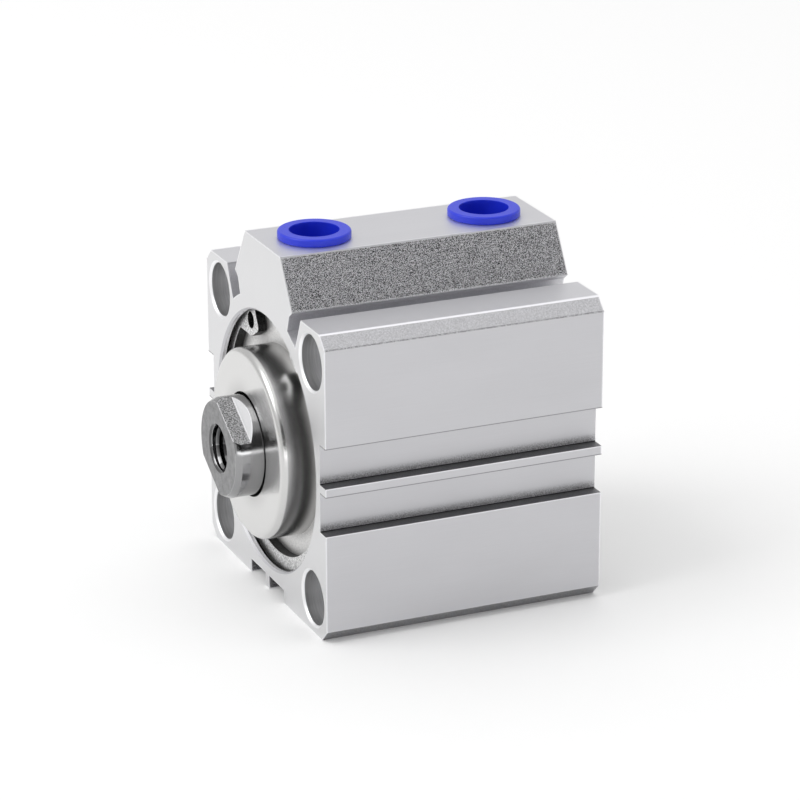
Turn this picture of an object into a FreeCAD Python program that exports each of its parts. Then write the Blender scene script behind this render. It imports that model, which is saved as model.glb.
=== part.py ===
import FreeCAD, Part
import math
import os

# Compact double-acting pneumatic cylinder, drawn with its rod in and both ports capped.
# X runs along the rod and out of the front, Z points to the air ports, all in millimetres.
# The origin is on the rod's axis, in the plane of the body's front face.

# Main sizes
BORE = 50.0
STROKE = 20.0
WALL = 6.0  # from the bore to the body's flat sides

# Extruded section: corners and the sensor slots of both sides and the underside
CORNER_CHAMFER = 2.5
SLOT_DEPTH = 2.8
SLOT_WIDTH = 7.9
SLOT_RIB = 1.8  # width of the rib that stands between the two slots of a side

# Extruded section: port block and the channel on either side of it
BLOCK_RISE = 9.5  # above the body's flat top
BLOCK_TOP_WIDTH = 18.6
BLOCK_WIDTH = 30.0
BLOCK_SHOULDER_WIDTH = 27.0
BLOCK_SHOULDER_DROP = 1.1
BLOCK_NECK_WIDTH = 24.8
CHANNEL_WALL = 4.4  # between the bore and the channel's round floor
FLANGE_WIDTH = 11.6  # corner flange, from the body's side to the channel's edge
FLANGE_FOOT = 14.6

# Corner holes, the same from both ends
HOLE_EDGE = 7.0  # from a hole's axis to the body's sides
HOLE_SINK_RADIUS = 5.4
HOLE_CHAMFER = 0.45
HOLE_SINK_DEPTH = 8.5
HOLE_TAP_RADIUS = 3.4
HOLE_TAP_DEPTH = 25.0  # from the end face
HOLE_THROUGH_RADIUS = 3.2

# Air ports
PORT_RADIUS = 5.9
PORT_DEPTH = 12.0
PORT_SINK = 0.7
FRONT_PORT_FROM_FACE = 10.8
REAR_PORT_FROM_FACE = 11.2
PASSAGE_RADIUS = 2.0
PASSAGE_EDGE = 0.5  # from a cover's flange to its passage

# Seats of the covers and of their retaining rings, at both ends of the bore
SEAT_STEP = 1.0  # the seat is this much larger than the bore, in radius
MOUTH_CHAMFER = 0.4
RING_DEPTH = 1.1  # from the end face to the ring's groove
RING_GROOVE = 1.2
RING_THICKNESS = 2.0
RING_PLAY = 0.9
RING_RADIAL_PLAY = 0.1
RING_BACK_WIDTH = 3.9  # opposite the gap
RING_ARM_WIDTH = 1.9  # where the arms meet the eyelets
ARM_ANGLE = 50.0  # degrees from the ring's top to where its arms meet the eyelets
EYELET_ANGLE = 30.0  # degrees from the ring's top to the holes
EYELET_REACH = 5.85  # from the ring's outside to the eyelet's flat inner edge
EYELET_GAP_SIDE = 3.35  # from a hole's axis to the ring's end face
EYELET_FLAT_SIDE = 1.4  # from a hole's axis to the slope that leads to the arm
EYELET_SLOPE = 30.0  # degrees between that slope and the inner edge
EYELET_ROUND = 1.2
EYELET_BLEND = 0.8  # hollow round between an eyelet and its arm
EYELET_HOLE_RADIUS = 1.7
EYELET_HOLE_INSET = 2.8  # from the ring's outside to a hole's axis

# Front cover
FRONT_FLANGE = 6.6
FRONT_NOSE = 2.4
BOSS_INSET = 6.0  # the boss is this much smaller than the bore, in radius
BOSS_RISE = 4.0  # in front of the body's face
BOSS_ROUND = 1.3
COVER_CHAMFER = 0.5
NOSE_STEP = 3.0  # the nose is this much smaller than the bore, in radius

# Rear cover
REAR_FLANGE = 4.8
REAR_NOSE = 2.2
CENTRE_MARK_RADIUS = 1.5

# Seals, bearings and bumpers in the covers
O_RING_GROOVE_WIDTH = 2.6
O_RING_GROOVE_DEPTH = 1.6
O_RING_SIDE_GAP = 0.15
ROD_HOLE_GAP = 0.4  # between the rod and the cover around it
ROD_SEAL_RADIAL = 4.0
ROD_SEAL_LENGTH = 4.3
ROD_SEAL_FROM_FACE = 2.2
ROD_SEAL_LIP_DEPTH = 1.7
ROD_SEAL_LIP_WALL = 0.8
ROD_SEAL_WAIST = 0.6  # how far the seal's middle stands off the rod
BUSH_WALL = 1.5
BUMPER_WALL = 1.45  # between the bush and the front bumper's groove
BUMPER_RADIAL = 5.0
BUMPER_GROOVE = 1.6
BUMPER_RISE = 1.0
BUMPER_ROUND = 0.4

# Piston
PISTON_FRONT = 7.2
PISTON_BACK = 4.8
PISTON_PLAY = 0.3
SEAL_OFFSET = 1.4
SEAL_GROOVE_WIDTH = 3.6
SEAL_GROOVE_DEPTH = 3.7
SEAL_VALLEY = 0.45
SEAL_LIP_CHAMFER = 0.4
WEAR_OFFSET = 1.0
WEAR_GROOVE_WIDTH = 2.8
WEAR_GROOVE_DEPTH = 1.2
WEAR_SLIT = 1.5
MAGNET_INNER_RADIUS = 15.0
MAGNET_WALL = 1.5  # between the magnet and the floor of the guide band's groove
MAGNET_THICKNESS = 3.0
MAGNET_WASHER = 1.0
HUB_RADIUS = 12.0
HUB_RISE = 2.0

# Rod
ROD_RADIUS = 10.0
ROD_RISE = 5.9  # in front of the boss, with the rod in
ROD_CHAMFER = 0.6  # in radius
ROD_CHAMFER_LENGTH = 1.2
FLAT_WIDTH = 16.0  # across the wrench flats
FLAT_LENGTH = 3.35
FLAT_RUNOUT = 1.3  # length of the slope from a flat up to the rod's surface
FLAT_TURN = 31.0  # degrees of the first flat from the top, towards +Y
THREAD_RADIUS = 4.5  # mean radius of the M10 thread
THREAD_DEPTH = 15.0
THREAD_SINK = 0.45
DRILL_EXTRA = 3.0
DRILL_TIP_SLOPE = 0.6  # tip length over radius
SPIGOT_RADIUS = 6.0
SPIGOT_END_GAP = 0.2
ROD_O_RING_OFFSET = 1.2
ROD_O_RING_WIDTH = 2.0
ROD_O_RING_DEPTH = 1.1

# Screw that clamps the piston to the rod
SCREW_TAP_RADIUS = 3.4
SCREW_HOLE_RADIUS = 4.2
SCREW_LENGTH = 16.0
SCREW_TAP_EXTRA = 2.0
SCREW_HEAD_RADIUS = 6.5
SCREW_HEAD_HEIGHT = 3.0
SCREW_HEAD_ROUND = 0.2
SCREW_SOCKET = 5.0
SCREW_SOCKET_DEPTH = 1.8
HEAD_PLAY = 0.5
LOCK_WASHER = 0.8
LOCK_WASHER_SLIT = 1.0

# Caps in the ports
CAP_LIP = 1.3  # the flange is this much larger than the port, in radius
CAP_FLANGE = 1.6
CAP_WALL = 0.9
CAP_PLAY = 0.1
CAP_END_GAP = 3.0
CAP_TOP_ROUND = 0.45
CAP_MOUTH_ROUND = 0.1
CAP_FOOT_ROUND = 0.3

# Clearances in radius
RUNNING_GAP = 0.05
STATIC_GAP = 0.02

# Sizes and places that follow from the values above
half_side = BORE / 2 + WALL
hole_place = half_side - HOLE_EDGE
block_top = half_side + BLOCK_RISE
bore_radius = BORE / 2
seat_radius = bore_radius + SEAT_STEP
cover_radius = seat_radius - RUNNING_GAP
nose_radius = bore_radius - NOSE_STEP
boss_radius = bore_radius - BOSS_INSET
ring_groove_radius = seat_radius + RING_GROOVE
ring_radius = ring_groove_radius - RING_RADIAL_PLAY
piston_radius = bore_radius - PISTON_PLAY
rod_hole_radius = ROD_RADIUS + ROD_HOLE_GAP
bush_radius = ROD_RADIUS + RUNNING_GAP + BUSH_WALL
cover_depth = RING_DEPTH + RING_PLAY + RING_THICKNESS
front_seat = -cover_depth
front_flange_end = front_seat - FRONT_FLANGE
front_nose_end = front_flange_end - FRONT_NOSE
piston_length = PISTON_FRONT + PISTON_BACK
chamber = piston_length + STROKE + 2 * BUMPER_RISE
rear_nose_end = front_nose_end - chamber
rear_flange_end = rear_nose_end - REAR_NOSE
rear_seat = rear_flange_end - REAR_FLANGE
rear_face = rear_seat - cover_depth
piston_rear = rear_nose_end + BUMPER_RISE
piston_split = piston_rear + PISTON_BACK
piston_face = piston_split + PISTON_FRONT
front_port = -FRONT_PORT_FROM_FACE
rear_port = rear_face + REAR_PORT_FROM_FACE
port_floor = block_top - PORT_DEPTH
front_passage = front_flange_end - PASSAGE_EDGE - PASSAGE_RADIUS
rear_passage = rear_flange_end + PASSAGE_RADIUS
rod_tip = BOSS_RISE + ROD_RISE
cap_flange_radius = PORT_RADIUS + CAP_LIP
spigot_end = piston_split + HUB_RISE + SPIGOT_END_GAP
rod_seal_front = BOSS_RISE - ROD_SEAL_FROM_FACE
rod_seal_back = rod_seal_front - ROD_SEAL_LENGTH
rod_seal_radius = ROD_RADIUS + ROD_SEAL_RADIAL
seal_floor = piston_radius - SEAL_GROOVE_DEPTH
seal_front = piston_face - SEAL_OFFSET
seal_back = seal_front - SEAL_GROOVE_WIDTH
wear_floor = piston_radius - WEAR_GROOVE_DEPTH
wear_back = piston_rear + WEAR_OFFSET
wear_front = wear_back + WEAR_GROOVE_WIDTH
magnet_radius = wear_floor - MAGNET_WALL
head_seat = piston_rear + SCREW_HEAD_HEIGHT
washer_seat = head_seat + LOCK_WASHER
screw_tip = head_seat + SCREW_LENGTH
head_recess_radius = SCREW_HEAD_RADIUS + HEAD_PLAY
bumper_inner = bush_radius + BUMPER_WALL
bumper_radius = bumper_inner + BUMPER_RADIAL

FAR = 4 * half_side  # longer than any cut needs
SAME = 0.01  # nearer than this, two places count as one
MARGIN = 0.1  # added to a radius in which edges are looked for


# Ways of making a shape
def turned(points):
    """A solid of revolution about the rod's axis, from the (x, radius) points of its section."""
    corners = [FreeCAD.Vector(x, 0, radius) for x, radius in points]
    section = Part.Face(Part.makePolygon(corners + corners[:1]))
    return section.revolve(FreeCAD.Vector(), FreeCAD.Vector(1, 0, 0), 360)


def rod(radius, start, end, y=0.0, z=0.0):
    """A cylinder along X between two places."""
    low = min(start, end)
    base = FreeCAD.Vector(low, y, z)
    return Part.makeCylinder(radius, abs(end - start), base, FreeCAD.Vector(1, 0, 0))


def tube(inner, outer, start, end):
    """A plain ring about the rod's axis."""
    return rod(outer, start, end).cut(rod(inner, start, end))


def cone(start, start_radius, end, end_radius, y=0.0, z=0.0):
    """A cone along X, from the lower place to the higher one."""
    base = FreeCAD.Vector(start, y, z)
    return Part.makeCone(start_radius, end_radius, end - start, base, FreeCAD.Vector(1, 0, 0))


def prism(outline, start, end):
    """A straight prism along X, from the (y, z) points of its outline."""
    corners = [FreeCAD.Vector(start, y, z) for y, z in outline]
    section = Part.Face(Part.makePolygon(corners + corners[:1]))
    return section.extrude(FreeCAD.Vector(end - start, 0, 0))


def at_angle(radius, degrees):
    """The (y, z) point at a radius and an angle from the top, towards +Y."""
    angle = math.radians(degrees)
    return radius * math.sin(angle), radius * math.cos(angle)


def rims(shape, x, radius):
    """The circular edges of one radius about the rod's axis, in the plane at x."""
    found = []
    for edge in shape.Edges:
        if not isinstance(edge.Curve, Part.Circle):
            continue
        if abs(edge.Curve.Radius - radius) < SAME and abs(edge.Curve.Center.x - x) < SAME:
            found.append(edge)
    return found


def edges_along(shape, low, high):
    """The straight edges along X between two radii about the rod's axis."""
    found = []
    for edge in shape.Edges:
        start = edge.firstVertex().Point
        end = edge.lastVertex().Point
        level = math.hypot(start.y - end.y, start.z - end.z) < SAME
        long_enough = abs(start.x - end.x) > SAME
        if level and long_enough and low < math.hypot(start.y, start.z) < high:
            found.append(edge)
    return found


def squeezed_ring(inner, outer, middle, width):
    """An O-ring pressed flat between two round walls: its section is a slot with round ends."""
    height = outer - inner
    straight = (width - height) / 2
    centre = (inner + outer) / 2

    def point(x, radius):
        return FreeCAD.Vector(middle + x, 0, radius)

    edges = [
        Part.LineSegment(point(-straight, outer), point(straight, outer)),
        Part.Arc(
            point(straight, outer), point(width / 2, centre), point(straight, inner)
        ),
        Part.LineSegment(point(straight, inner), point(-straight, inner)),
        Part.Arc(
            point(-straight, inner), point(-width / 2, centre), point(-straight, outer)
        ),
    ]
    section = Part.Face(Part.Wire([edge.toShape() for edge in edges]))
    return section.revolve(FreeCAD.Vector(), FreeCAD.Vector(1, 0, 0), 360)


# Body
def body_section():
    """Face of the extruded section in the end plane, mirrored about the middle plane."""
    slot_inner = SLOT_RIB / 2
    slot_outer = slot_inner + SLOT_WIDTH
    slot_floor = half_side - SLOT_DEPTH
    corner = half_side - CORNER_CHAMFER
    channel_radius = bore_radius + CHANNEL_WALL
    foot_y = half_side - FLANGE_FOOT
    neck_y = BLOCK_NECK_WIDTH / 2
    floor_y = (foot_y + neck_y) / 2

    def on_floor(y):
        return y, math.sqrt(channel_radius**2 - y**2)

    lower = [
        (0, -half_side),
        (slot_inner, -half_side),
        (slot_inner, -slot_floor),
        (slot_outer, -slot_floor),
        (slot_outer, -half_side),
        (corner, -half_side),
        (half_side, -corner),
        (half_side, -slot_outer),
        (slot_floor, -slot_outer),
        (slot_floor, -slot_inner),
        (half_side, -slot_inner),
        (half_side, slot_inner),
        (slot_floor, slot_inner),
        (slot_floor, slot_outer),
        (half_side, slot_outer),
        (half_side, corner),
        (corner, half_side),
        (half_side - FLANGE_WIDTH, half_side),
        on_floor(foot_y),
    ]
    upper = [
        on_floor(neck_y),
        (BLOCK_SHOULDER_WIDTH / 2, half_side - BLOCK_SHOULDER_DROP),
        (BLOCK_WIDTH / 2, half_side),
        (BLOCK_TOP_WIDTH / 2, block_top),
        (0, block_top),
    ]

    def placed(points):
        return [FreeCAD.Vector(0, y, z) for y, z in points]

    floor = placed([on_floor(foot_y), on_floor(floor_y), on_floor(neck_y)])
    half = (
        Part.makePolygon(placed(lower)).Edges
        + [Part.Arc(*floor).toShape()]
        + Part.makePolygon(placed(upper)).Edges
    )
    other = [edge.mirror(FreeCAD.Vector(), FreeCAD.Vector(0, 1, 0)) for edge in half]
    return Part.Face(Part.Wire(Part.__sortEdges__(half + other)))


def bore_cut():
    """Everything that is turned out of the body along the rod's axis."""
    mouth = seat_radius + MOUTH_CHAMFER
    front = [
        (0, mouth),
        (-MOUTH_CHAMFER, seat_radius),
        (-RING_DEPTH, seat_radius),
        (-RING_DEPTH, ring_groove_radius),
        (front_seat, ring_groove_radius),
        (front_seat, seat_radius),
    ]
    rear = [(rear_face - x, radius) for x, radius in reversed(front)]
    shoulders = [
        (front_flange_end, seat_radius),
        (front_flange_end, bore_radius),
        (rear_flange_end, bore_radius),
        (rear_flange_end, seat_radius),
    ]
    return turned([(0, 0)] + front + shoulders + rear + [(rear_face, 0)])


def corner_hole(y, z):
    """One corner hole: sunk and tapped from both ends, and open between them."""
    cuts = [rod(HOLE_THROUGH_RADIUS, 0, rear_face, y, z)]
    for face, inward in ((0, -1), (rear_face, 1)):
        sink_end = face + inward * HOLE_SINK_DEPTH
        tap_end = face + inward * HOLE_TAP_DEPTH
        cuts.append(rod(HOLE_SINK_RADIUS, face, sink_end, y, z))
        cuts.append(rod(HOLE_TAP_RADIUS, face, tap_end, y, z))
    wide = HOLE_SINK_RADIUS + HOLE_CHAMFER
    cuts.append(cone(-HOLE_CHAMFER, HOLE_SINK_RADIUS, 0, wide, y, z))
    cuts.append(cone(rear_face, wide, rear_face + HOLE_CHAMFER, HOLE_SINK_RADIUS, y, z))
    return cuts


def port_cut(x, passage):
    """One air port with its thread's countersink and the drilled passage to the bore."""
    up = FreeCAD.Vector(0, 0, 1)
    hole = Part.makeCylinder(
        PORT_RADIUS, PORT_DEPTH, FreeCAD.Vector(x, 0, port_floor), up
    )
    sink = Part.makeCone(
        PORT_RADIUS,
        PORT_RADIUS + PORT_SINK,
        PORT_SINK,
        FreeCAD.Vector(x, 0, block_top - PORT_SINK),
        up,
    )
    feed_start = nose_radius
    feed = Part.makeCylinder(
        PASSAGE_RADIUS,
        port_floor - feed_start,
        FreeCAD.Vector(passage, 0, feed_start),
        up,
    )
    return [hole, sink, feed]


def body():
    shape = body_section().extrude(FreeCAD.Vector(rear_face, 0, 0))
    cuts = [bore_cut()]
    for y in (-hole_place, hole_place):
        for z in (-hole_place, hole_place):
            cuts += corner_hole(y, z)
    cuts += port_cut(front_port, front_passage)
    cuts += port_cut(rear_port, rear_passage)
    return shape.cut(cuts)


# Retaining rings
def eyelet(side, back, front):
    """One lug of the ring, before its hole: side is -1 or 1, the side of the gap it lies on."""
    turn = math.radians(EYELET_ANGLE)
    slope = math.radians(EYELET_SLOPE)
    inner = ring_radius - EYELET_REACH
    run = 2 * EYELET_REACH
    slope_end = -EYELET_FLAT_SIDE - run * math.cos(slope)
    outline = [
        (EYELET_GAP_SIDE, FAR),
        (EYELET_GAP_SIDE, inner),
        (-EYELET_FLAT_SIDE, inner),
        (slope_end, inner + run * math.sin(slope)),
        (slope_end, FAR),
    ]
    points = []
    for across, out in outline:
        y = side * (out * math.sin(turn) - across * math.cos(turn))
        z = out * math.cos(turn) + across * math.sin(turn)
        points.append((y, z))
    return prism(points, back, front).common(rod(ring_radius, back, front))


def circlip(front):
    """Internal retaining ring: arms that taper towards two eyelets, with the gap on top."""
    back = front - RING_THICKNESS
    taper = math.cos(math.radians(ARM_ANGLE))
    offset = (RING_BACK_WIDTH - RING_ARM_WIDTH) / (1 + taper)
    inner_radius = ring_radius - RING_BACK_WIDTH + offset
    arms = rod(ring_radius, back, front).cut(rod(inner_radius, back, front, 0, offset))
    tip = EYELET_GAP_SIDE / math.sin(math.radians(EYELET_ANGLE))
    gap_y, gap_z = at_angle(FAR, EYELET_ANGLE)
    gap = prism([(0, tip), (gap_y, tip + gap_z), (-gap_y, tip + gap_z)], back, front)
    shape = arms.cut(gap).fuse([eyelet(-1, back, front), eyelet(1, back, front)])
    shape = shape.removeSplitter()
    corner = math.hypot(ring_radius - EYELET_REACH, max(EYELET_GAP_SIDE, EYELET_FLAT_SIDE))
    tips = edges_along(shape, 0, corner + MARGIN)
    shape = shape.makeFillet(min(EYELET_ROUND, EYELET_GAP_SIDE / 2), tips)
    roots = edges_along(shape, corner + RING_ARM_WIDTH, ring_radius - MARGIN)
    shape = shape.makeFillet(min(EYELET_BLEND, RING_ARM_WIDTH / 2), roots)
    for side in (-1, 1):
        y, z = at_angle(ring_radius - EYELET_HOLE_INSET, side * EYELET_ANGLE)
        shape = shape.cut(rod(EYELET_HOLE_RADIUS, back, front, y, z))
    return shape


def front_circlip():
    return circlip(-RING_DEPTH - RING_PLAY)


def rear_circlip():
    return circlip(rear_seat)


# Covers
def o_ring_groove(flange_start, flange_end):
    """Edges along X of the groove in the middle of a cover's flange."""
    middle = (flange_start + flange_end) / 2
    return middle - O_RING_GROOVE_WIDTH / 2, middle + O_RING_GROOVE_WIDTH / 2


def cover_o_ring(flange_start, flange_end):
    inner = cover_radius - O_RING_GROOVE_DEPTH + STATIC_GAP
    outer = seat_radius - STATIC_GAP
    middle = (flange_start + flange_end) / 2
    return squeezed_ring(inner, outer, middle, O_RING_GROOVE_WIDTH - 2 * O_RING_SIDE_GAP)


def front_cover():
    groove_back, groove_front = o_ring_groove(front_seat, front_flange_end)
    groove_floor = cover_radius - O_RING_GROOVE_DEPTH
    bumper_floor = front_nose_end + BUMPER_GROOVE
    rim = cover_radius - COVER_CHAMFER
    shape = turned(
        [
            (BOSS_RISE, rod_hole_radius),
            (BOSS_RISE, boss_radius),
            (front_seat, boss_radius),
            (front_seat, rim),
            (front_seat - COVER_CHAMFER, cover_radius),
            (groove_front, cover_radius),
            (groove_front, groove_floor),
            (groove_back, groove_floor),
            (groove_back, cover_radius),
            (front_flange_end, cover_radius),
            (front_flange_end, nose_radius),
            (front_nose_end, nose_radius),
            (front_nose_end, bumper_radius),
            (bumper_floor, bumper_radius),
            (bumper_floor, bumper_inner),
            (front_nose_end, bumper_inner),
            (front_nose_end, bush_radius),
            (front_seat, bush_radius),
            (front_seat, rod_hole_radius),
            (rod_seal_back, rod_hole_radius),
            (rod_seal_back, rod_seal_radius),
            (rod_seal_front, rod_seal_radius),
            (rod_seal_front, rod_hole_radius),
        ]
    )
    return shape.makeFillet(BOSS_ROUND, rims(shape, BOSS_RISE, boss_radius))


def front_cover_o_ring():
    return cover_o_ring(front_seat, front_flange_end)


def rod_bush():
    inner = ROD_RADIUS + RUNNING_GAP
    return tube(inner, bush_radius - STATIC_GAP, front_nose_end, front_seat)


def rod_seal():
    """Lip seal with its pressure lips to the back and a wiper lip to the front."""
    outer = rod_seal_radius - STATIC_GAP
    lip = ROD_RADIUS + RUNNING_GAP
    waist = lip + ROD_SEAL_WAIST
    back = rod_seal_back + STATIC_GAP
    front = rod_seal_front - STATIC_GAP
    back_root = back + ROD_SEAL_LIP_DEPTH
    front_root = front - ROD_SEAL_LIP_DEPTH
    return turned(
        [
            (front, outer),
            (back, outer),
            (back, outer - ROD_SEAL_LIP_WALL),
            (back_root, outer - 2 * ROD_SEAL_LIP_WALL),
            (back_root, lip + 2 * ROD_SEAL_LIP_WALL),
            (back, lip + ROD_SEAL_LIP_WALL),
            (back, lip),
            (back_root, waist),
            (front_root, waist),
            (front, lip),
            (front, lip + ROD_SEAL_LIP_WALL),
            (front_root, lip + 2 * ROD_SEAL_LIP_WALL),
            (front_root, outer - 2 * ROD_SEAL_LIP_WALL),
            (front, outer - ROD_SEAL_LIP_WALL),
        ]
    )


def bumper(seat, outward):
    """Rubber ring in a cover's groove, rounded where it stands proud."""
    floor = seat - outward * BUMPER_GROOVE
    face = seat + outward * BUMPER_RISE
    inner = bumper_inner + STATIC_GAP
    outer = bumper_radius - STATIC_GAP
    shape = tube(inner, outer, floor, face)
    return shape.makeFillet(BUMPER_ROUND, rims(shape, face, inner) + rims(shape, face, outer))


def front_bumper():
    return bumper(front_nose_end, -1)


def rear_bumper():
    return bumper(rear_nose_end, 1)


def rear_cover():
    groove_back, groove_front = o_ring_groove(rear_seat, rear_flange_end)
    groove_floor = cover_radius - O_RING_GROOVE_DEPTH
    bumper_floor = rear_nose_end - BUMPER_GROOVE
    return turned(
        [
            (rear_seat + CENTRE_MARK_RADIUS, 0),
            (rear_seat, CENTRE_MARK_RADIUS),
            (rear_seat, cover_radius - COVER_CHAMFER),
            (rear_seat + COVER_CHAMFER, cover_radius),
            (groove_back, cover_radius),
            (groove_back, groove_floor),
            (groove_front, groove_floor),
            (groove_front, cover_radius),
            (rear_flange_end, cover_radius),
            (rear_flange_end, nose_radius),
            (rear_nose_end, nose_radius),
            (rear_nose_end, bumper_radius),
            (bumper_floor, bumper_radius),
            (bumper_floor, bumper_inner),
            (rear_nose_end, bumper_inner),
            (rear_nose_end, 0),
        ]
    )


def rear_cover_o_ring():
    return cover_o_ring(rear_seat, rear_flange_end)


# Piston
def piston():
    """Front half: carries the seal, and centres on the rod's spigot and the back plate's hub."""
    washer_floor = piston_split + MAGNET_WASHER
    hub_floor = piston_split + HUB_RISE + STATIC_GAP
    return turned(
        [
            (piston_face, SPIGOT_RADIUS + STATIC_GAP),
            (piston_face, piston_radius),
            (seal_front, piston_radius),
            (seal_front, seal_floor),
            (seal_back, seal_floor),
            (seal_back, piston_radius),
            (piston_split, piston_radius),
            (piston_split, magnet_radius),
            (washer_floor, magnet_radius),
            (washer_floor, MAGNET_INNER_RADIUS),
            (piston_split, MAGNET_INNER_RADIUS),
            (piston_split, HUB_RADIUS + STATIC_GAP),
            (hub_floor, HUB_RADIUS + STATIC_GAP),
            (hub_floor, SPIGOT_RADIUS + STATIC_GAP),
        ]
    )


def piston_back_plate():
    """Rear half: holds the magnet and the guide band, and takes the screw's head."""
    magnet_floor = piston_split - MAGNET_THICKNESS
    hub_face = piston_split + HUB_RISE
    return turned(
        [
            (hub_face, SCREW_HOLE_RADIUS),
            (hub_face, HUB_RADIUS),
            (piston_split, HUB_RADIUS),
            (piston_split, MAGNET_INNER_RADIUS),
            (magnet_floor, MAGNET_INNER_RADIUS),
            (magnet_floor, magnet_radius),
            (piston_split, magnet_radius),
            (piston_split, piston_radius),
            (wear_front, piston_radius),
            (wear_front, wear_floor),
            (wear_back, wear_floor),
            (wear_back, piston_radius),
            (piston_rear, piston_radius),
            (piston_rear, head_recess_radius),
            (washer_seat, head_recess_radius),
            (washer_seat, SCREW_HOLE_RADIUS),
        ]
    )


def piston_seal():
    """Two-lipped ring: the lips meet the bore, with a valley between them for grease."""
    inner = seal_floor + RUNNING_GAP
    outer = bore_radius - RUNNING_GAP
    front = seal_front - RUNNING_GAP
    back = seal_back + RUNNING_GAP
    middle = (front + back) / 2
    valley = outer - SEAL_VALLEY
    return turned(
        [
            (back, inner),
            (front, inner),
            (front, outer - SEAL_LIP_CHAMFER),
            (front - SEAL_LIP_CHAMFER, outer),
            (middle + SEAL_VALLEY, valley),
            (middle - SEAL_VALLEY, valley),
            (back + SEAL_LIP_CHAMFER, outer),
            (back, outer - SEAL_LIP_CHAMFER),
        ]
    )


def wear_ring():
    """Guide band with the slanted cut that lets it snap into its groove."""
    inner = wear_floor + RUNNING_GAP
    outer = bore_radius - RUNNING_GAP
    back = wear_back + RUNNING_GAP
    front = wear_front - RUNNING_GAP
    slant = front - back
    corners = [
        FreeCAD.Vector(back, 0, 0),
        FreeCAD.Vector(back, WEAR_SLIT, 0),
        FreeCAD.Vector(front, WEAR_SLIT + slant, 0),
        FreeCAD.Vector(front, slant, 0),
    ]
    slit = Part.Face(Part.makePolygon(corners + corners[:1]))
    slit = slit.extrude(FreeCAD.Vector(0, 0, -FAR))
    return tube(inner, outer, back, front).cut(slit)


def magnet_washer():
    inner = MAGNET_INNER_RADIUS + STATIC_GAP
    outer = magnet_radius - STATIC_GAP
    return tube(inner, outer, piston_split, piston_split + MAGNET_WASHER)


def piston_magnet():
    inner = MAGNET_INNER_RADIUS + STATIC_GAP
    outer = magnet_radius - STATIC_GAP
    return tube(inner, outer, piston_split - MAGNET_THICKNESS, piston_split)


# Rod and its fasteners
def wrench_flats():
    """The two cuts that leave flats at the rod's tip, each sloping out to the rod's surface."""
    flat_end = rod_tip - FLAT_LENGTH
    floor = FLAT_WIDTH / 2
    rise = ROD_RADIUS - floor
    profile = [
        (rod_tip, floor),
        (flat_end, floor),
        (flat_end - 2 * FLAT_RUNOUT, floor + 2 * rise),
        (rod_tip, floor + 2 * rise),
    ]
    corners = [FreeCAD.Vector(x, -ROD_RADIUS, z) for x, z in profile]
    section = Part.Face(Part.makePolygon(corners + corners[:1]))
    cuts = []
    for turn in (0, 180):
        cut = section.extrude(FreeCAD.Vector(0, 2 * ROD_RADIUS, 0))
        cut.rotate(FreeCAD.Vector(), FreeCAD.Vector(1, 0, 0), turn - FLAT_TURN)
        cuts.append(cut)
    return cuts


def piston_rod():
    shape = turned(
        [
            (rod_tip, 0),
            (rod_tip, ROD_RADIUS - ROD_CHAMFER),
            (rod_tip - ROD_CHAMFER_LENGTH, ROD_RADIUS),
            (piston_face, ROD_RADIUS),
            (piston_face, SPIGOT_RADIUS),
            (piston_face - ROD_O_RING_OFFSET, SPIGOT_RADIUS),
            (piston_face - ROD_O_RING_OFFSET, SPIGOT_RADIUS - ROD_O_RING_DEPTH),
            (
                piston_face - ROD_O_RING_OFFSET - ROD_O_RING_WIDTH,
                SPIGOT_RADIUS - ROD_O_RING_DEPTH,
            ),
            (piston_face - ROD_O_RING_OFFSET - ROD_O_RING_WIDTH, SPIGOT_RADIUS),
            (spigot_end, SPIGOT_RADIUS),
            (spigot_end, 0),
        ]
    )
    front_end = rod_tip - THREAD_DEPTH - DRILL_EXTRA
    front_point = front_end - DRILL_TIP_SLOPE * THREAD_RADIUS
    front_hole = turned(
        [
            (rod_tip, 0),
            (rod_tip, THREAD_RADIUS + THREAD_SINK),
            (rod_tip - THREAD_SINK, THREAD_RADIUS),
            (front_end, THREAD_RADIUS),
            (front_point, 0),
        ]
    )
    rear_end = screw_tip + SCREW_TAP_EXTRA
    rear_point = rear_end + DRILL_TIP_SLOPE * SCREW_TAP_RADIUS
    rear_hole = turned(
        [
            (spigot_end, 0),
            (spigot_end, SCREW_TAP_RADIUS),
            (rear_end, SCREW_TAP_RADIUS),
            (rear_point, 0),
        ]
    )
    return shape.cut([front_hole, rear_hole] + wrench_flats())


def piston_rod_o_ring():
    inner = SPIGOT_RADIUS - ROD_O_RING_DEPTH + STATIC_GAP
    middle = piston_face - ROD_O_RING_OFFSET - ROD_O_RING_WIDTH / 2
    return squeezed_ring(inner, SPIGOT_RADIUS, middle, ROD_O_RING_WIDTH - O_RING_SIDE_GAP)


def piston_screw():
    """Low-headed screw with a hexagon socket."""
    head = rod(SCREW_HEAD_RADIUS, piston_rear, head_seat)
    head = head.makeFillet(SCREW_HEAD_ROUND, rims(head, piston_rear, SCREW_HEAD_RADIUS))
    shank = rod(SCREW_TAP_RADIUS - STATIC_GAP, head_seat, screw_tip)
    corner_radius = SCREW_SOCKET / 2 / math.cos(math.radians(30))
    hexagon = [at_angle(corner_radius, 60 * step) for step in range(6)]
    socket = prism(hexagon, piston_rear, piston_rear + SCREW_SOCKET_DEPTH)
    return head.fuse(shank).cut(socket)


def lock_washer():
    inner = SCREW_HOLE_RADIUS
    ring = tube(inner, SCREW_HEAD_RADIUS, head_seat, washer_seat)
    slit = Part.makeBox(
        LOCK_WASHER,
        LOCK_WASHER_SLIT,
        SCREW_HEAD_RADIUS,
        FreeCAD.Vector(head_seat, -LOCK_WASHER_SLIT / 2, 0),
    )
    return ring.cut(slit)


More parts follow.
